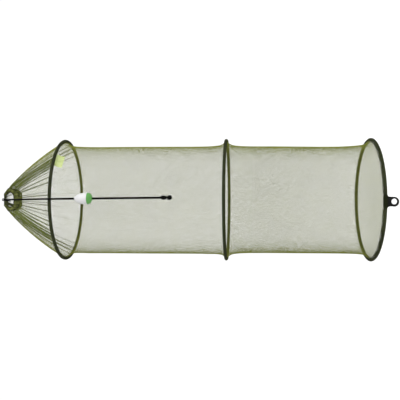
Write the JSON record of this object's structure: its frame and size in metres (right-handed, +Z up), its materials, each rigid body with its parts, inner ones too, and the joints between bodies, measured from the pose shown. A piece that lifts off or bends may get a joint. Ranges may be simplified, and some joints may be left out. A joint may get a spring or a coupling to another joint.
{
  "type": "fishing keepnet",
  "caption": "Collapsible round fishing keepnet: net tube on hoops, gathered drawcord neck, tail cord with sliding float, eye lug at the bottom.",
  "frame": {"origin": "top of the small hang loop that gathers the neck; the net hangs below it", "axes": "+Z up along the hanging net, -Y to the front where the tail cord, the float and the eye lug are, +X to the right seen from the front"},
  "size_m": [0.4008, 0.4225, 1.2651],
  "materials": {
    "net": "matte knotless twine",
    "hem": "matte",
    "tube": "satin",
    "wire": "drawn",
    "cord": "braided",
    "lug": "moulded",
    "foam_white": "satin",
    "foam_green": "satin",
    "liner": "satin",
    "label": "matte"
  },
  "bodies": {
    "neck": {"hang_loop": "cord", "draw_cord": "cord", "neck_hem": "hem", "neck_net": "net", "tail_upper": "cord"},
    "top_ring": {"top_hoop": "tube", "top_hoop_wire": "wire", "top_ferrule": "tube", "top_sleeve": "hem", "label": "label", "upper_net": "net"},
    "middle_ring": {"middle_hoop": "tube", "middle_hoop_wire": "wire", "middle_ferrule": "tube", "middle_sleeve": "hem", "lower_net": "net"},
    "bottom_ring": {"bottom_hoop": "tube", "bottom_hoop_wire": "wire", "bottom_sleeve": "hem", "bottom_net": "net"},
    "lug": {"eye_lug": "lug", "lug_boot": "hem"},
    "float_line": {"tail_lower": "cord", "stopper_knot": "cord", "end_knot": "cord"},
    "float": {"float_nose": "foam_white", "float_end": "foam_green", "float_tube": "liner"}
  },
  "joints": [
    {"name": "neck_collapse", "type": "slide", "parent": "neck", "child": "top_ring", "axis": [0, 0, 1], "range_m": [0, 0.12], "deforming": ["neck_net", "tail_upper"]},
    {"name": "upper_collapse", "type": "slide", "parent": "top_ring", "child": "middle_ring", "axis": [0, 0, 1], "range_m": [0, 0.512], "deforming": ["upper_net"]},
    {"name": "lower_collapse", "type": "slide", "parent": "middle_ring", "child": "bottom_ring", "axis": [0, 0, 1], "range_m": [0, 0.4445], "deforming": ["lower_net"]},
    {"name": "lug_swing", "type": "hinge", "parent": "bottom_ring", "child": "lug", "pos_m": [-0.00498, -0.19483, -1.2256], "axis": [-0.9997, 0.0256, 0], "range_deg": [-65, 30]},
    {"name": "float_swing", "type": "hinge", "parent": "top_ring", "child": "float_line", "pos_m": [0.0022, -0.2045, -0.2234], "axis": [-1, 0, 0], "range_deg": [0, 29.4]},
    {"name": "float_slide", "type": "slide", "parent": "float_line", "child": "float", "axis": [-0.0112, 0, 0.9999], "range_m": [-0.205, 0.064]}
  ],
  "couplings": [
    {"joint": "float_swing", "follows": "upper_collapse", "rad_per_m": 1}
  ]
}
